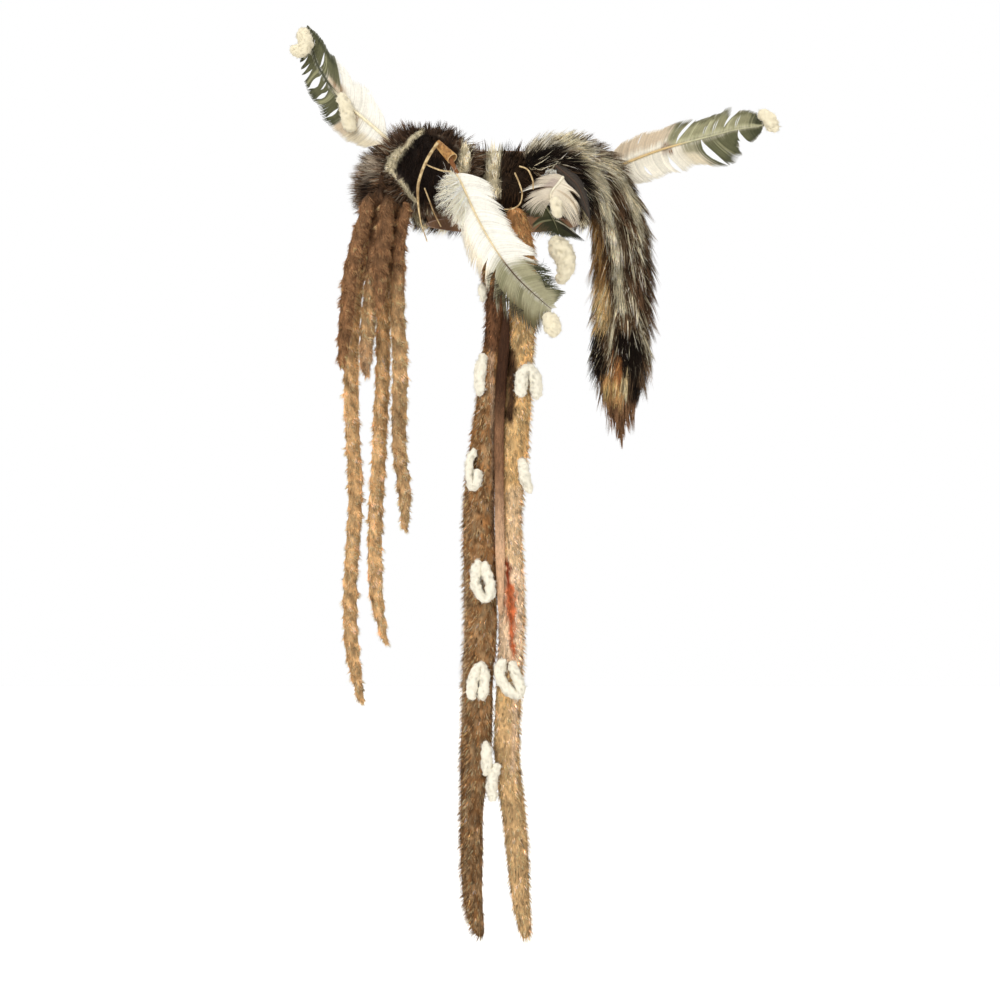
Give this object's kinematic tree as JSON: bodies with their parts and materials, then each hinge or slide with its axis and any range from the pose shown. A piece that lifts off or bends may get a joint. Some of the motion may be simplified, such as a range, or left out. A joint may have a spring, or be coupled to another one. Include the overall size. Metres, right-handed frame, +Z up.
{
  "type": "feathered fur headdress",
  "caption": "Fur headband with a hanging striped pelt, twisted fur drops, long fur strips, feathers, wool ties and hide thongs, worn round the head.",
  "frame": {"origin": "centre of the head opening, at half the height of the hide ring", "axes": "+Z up, out of the crown; -Y is the side on which the long fur strips hang; +X is the side of the hanging pelt"},
  "size_m": [0.5457, 0.2885, 1.0193],
  "materials": {
    "dark_fur": "deep dark brown fur with a cream seam",
    "striped_fur": "dark and cream striped fur",
    "pelt_fur": "long coarse fur, near black with cream and tan stripes",
    "drop_fur": "short brown fur on a twisted hide core",
    "brown_fur": "short speckled brown fur",
    "straw_fur": "short straw-coloured fur with an orange dyed stripe",
    "velvet_hide": "soft brown suede",
    "ring_hide": "matt brown hide",
    "rawhide": "smooth tan rawhide",
    "thread": "brown thread wound close",
    "white_feather": "white vane with olive and pale brown stains",
    "olive_feather": "dark olive vane",
    "grey_feather": "dark grey vane",
    "cream_wool": "unspun cream wool",
    "white_wool": "unspun white wool",
    "thong": "thin pale tan hide"
  },
  "bodies": {
    "root": {"headband_hide": "ring_hide", "band_fur": "striped_fur", "left_fold": "dark_fur", "right_pelt": "pelt_fur", "fur_strip_left": "brown_fur", "fur_strip_right": "straw_fur", "hide_fold": "velvet_hide", "feather_upper_left": "white_feather", "feather_right": "white_feather", "feather_hanging": "white_feather", "feather_pale": "white_feather", "feather_olive": "olive_feather", "feather_grey": "grey_feather", "socket_tube": "rawhide", "quill_wrap": "thread", "wool_tuft_left": "cream_wool", "wool_tuft_right": "cream_wool", "wool_tuft_hanging": "cream_wool", "wool_puff": "cream_wool", "wool_wad": "cream_wool", "wool_fluff": "cream_wool", "thong_long": "thong", "thong_pair": "thong", "thong_string": "thong", "thong_right": "thong", "thong_knot": "thong", "fur_drop_1": "drop_fur", "fur_drop_2": "drop_fur", "fur_drop_3": "drop_fur", "fur_drop_4": "drop_fur", "fur_drop_5": "drop_fur", "fur_drop_6": "drop_fur", "wool_tie_1": "white_wool", "wool_tie_2": "white_wool", "wool_tie_3": "white_wool", "wool_tie_4": "white_wool", "wool_tie_5": "white_wool", "wool_tie_6": "white_wool", "wool_tie_7": "white_wool", "wool_tie_8": "white_wool", "wool_tie_9": "white_wool", "wool_tie_10": "white_wool"}
  },
  "joints": []
}
